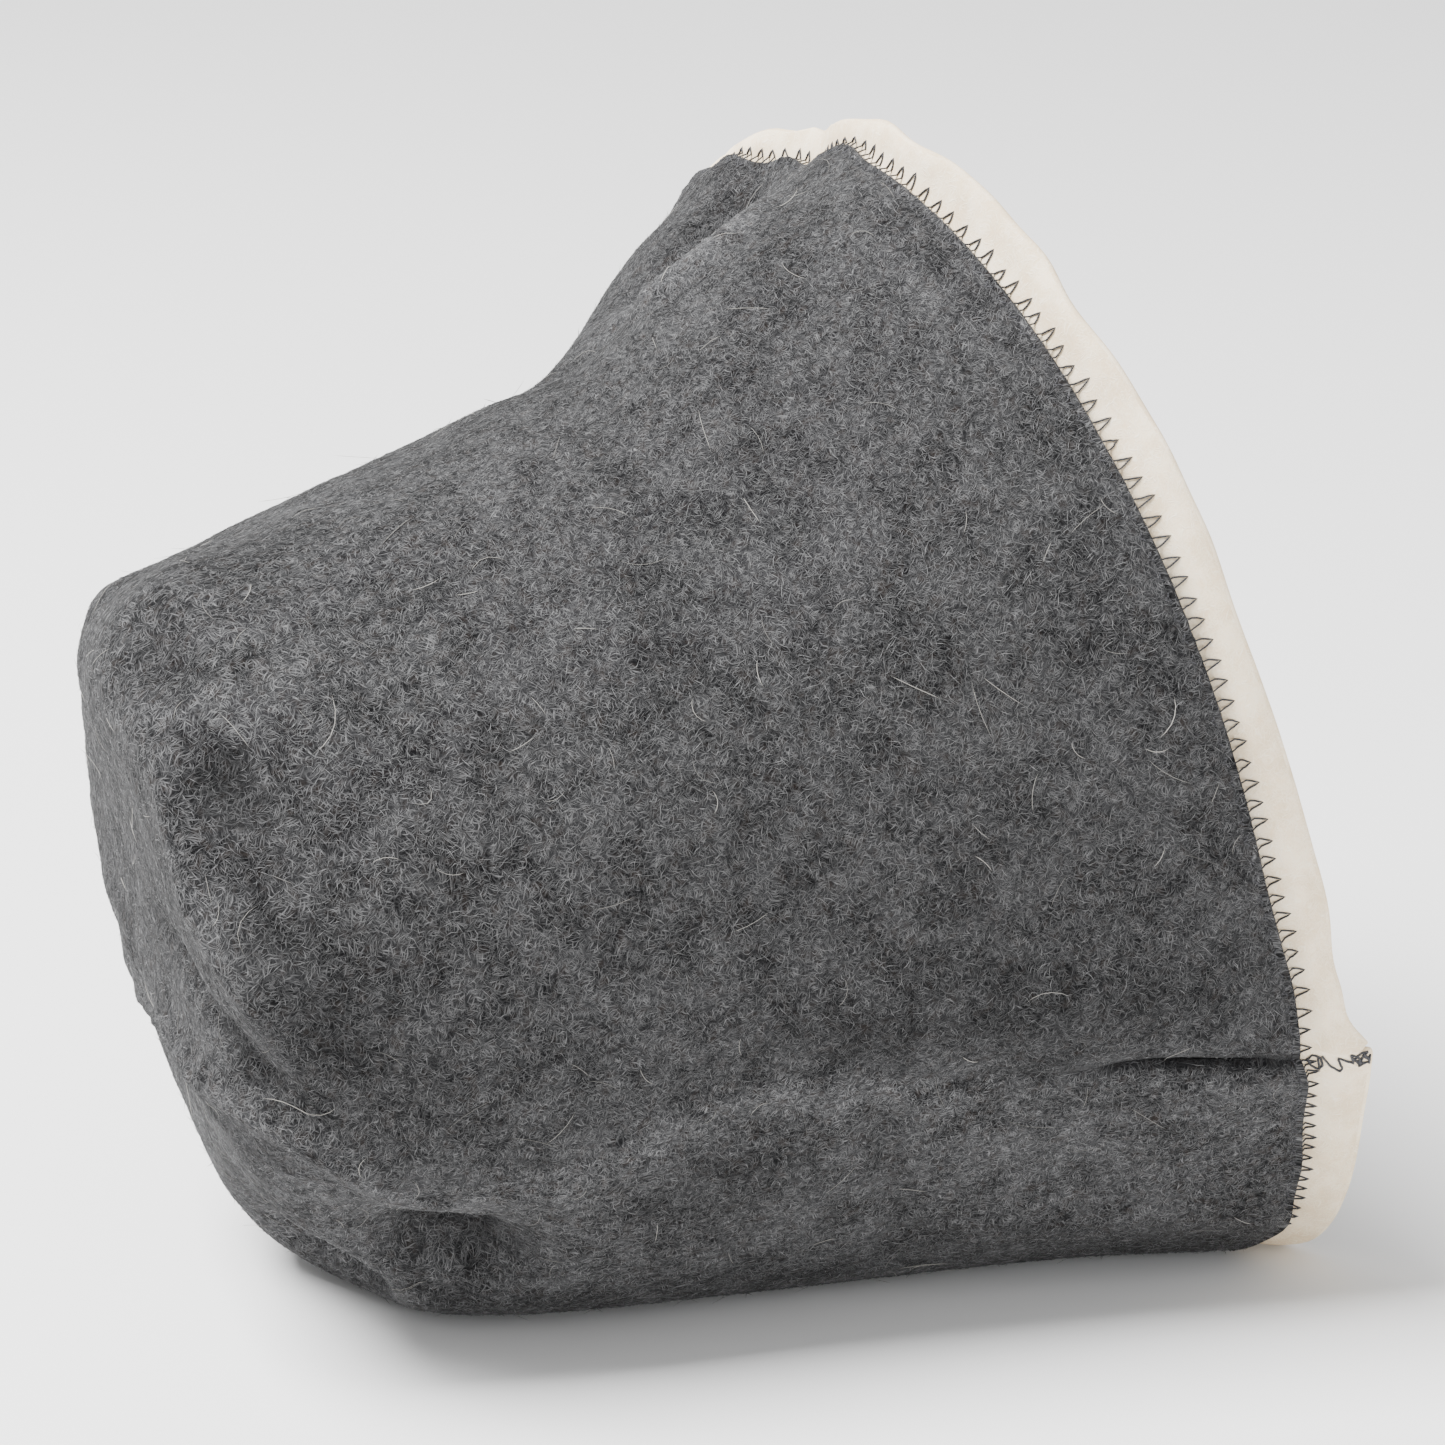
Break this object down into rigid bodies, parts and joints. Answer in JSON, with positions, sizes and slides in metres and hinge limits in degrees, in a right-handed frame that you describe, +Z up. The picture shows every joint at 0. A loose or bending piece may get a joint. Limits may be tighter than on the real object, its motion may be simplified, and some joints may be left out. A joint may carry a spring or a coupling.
{
  "type": "sauna hat",
  "caption": "Bell-shaped wool felt sauna hat lying on its side, two sewn panels with a cream felt strip along the rim; worn on the head in the sauna.",
  "frame": {"origin": "a point on the flat felt the hat lies on, at the height of the surface it rests on", "axes": "+Z up; the crown points along -X and the rim opens along +X; -Y is the side seen in the picture"},
  "size_m": [0.2557, 0.2451, 0.242],
  "materials": {
    "grey_felt": "matt heathered wool felt",
    "cream_felt": "matt wool felt"
  },
  "bodies": {
    "root": {"front_panel": "grey_felt", "back_panel": "grey_felt", "front_trim": "cream_felt", "back_trim": "cream_felt"}
  },
  "joints": []
}
